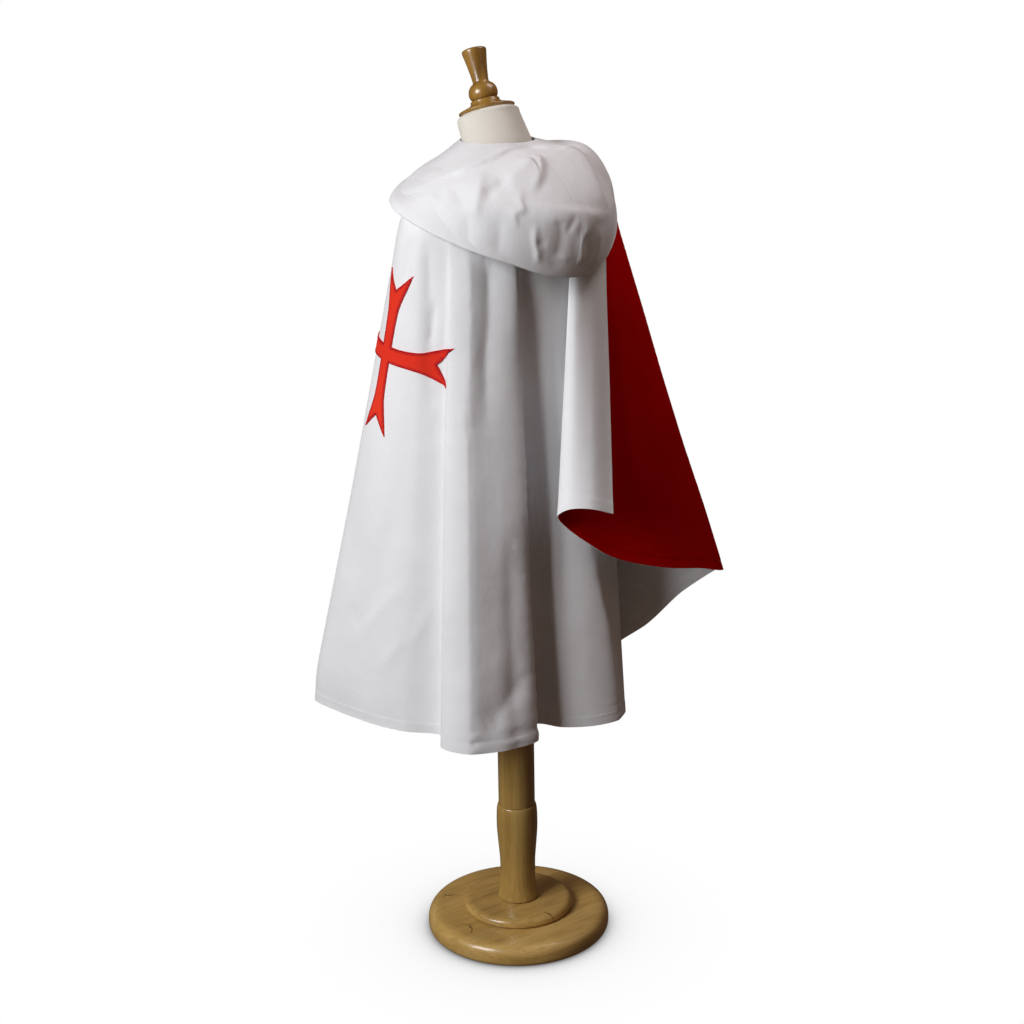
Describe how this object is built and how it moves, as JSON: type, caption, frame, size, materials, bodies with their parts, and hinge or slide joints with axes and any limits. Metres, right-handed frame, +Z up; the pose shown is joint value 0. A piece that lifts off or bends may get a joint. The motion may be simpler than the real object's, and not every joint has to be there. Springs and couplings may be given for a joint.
{
  "type": "hooded cape on dress form",
  "caption": "Child's knee-length hooded costume cape with one lined front thrown back over the shoulder, on a limbless dress form with a turned wooden stand.",
  "frame": {"origin": "centre of the round base's underside, on the floor, on the post's axis", "axes": "+Z up along the post, -Y to the wearer's front, +X to the wearer's left"},
  "size_m": [0.4776, 0.4184, 1.2494],
  "materials": {
    "cape_cloth": "matt white cotton drill",
    "lining_cloth": "matt deep red cotton",
    "cross_cloth": "matt bright red cotton",
    "form_cloth": "matt cream cotton jersey",
    "stand_wood": "honey varnish",
    "neck_wood": "darker brown varnish"
  },
  "bodies": {
    "root": {"cape_left_front": "cape_cloth", "cape_back": "cape_cloth", "cape_right_front": "cape_cloth", "lining_right_front": "lining_cloth", "cross": "cross_cloth", "hood_left": "cape_cloth", "hood_right": "cape_cloth", "neck_tab": "cape_cloth", "form_torso": "form_cloth", "base_disc": "stand_wood", "base_step": "stand_wood", "post_foot": "stand_wood", "post": "stand_wood", "neck_cap": "neck_wood", "neck_knob": "neck_wood"}
  },
  "joints": []
}
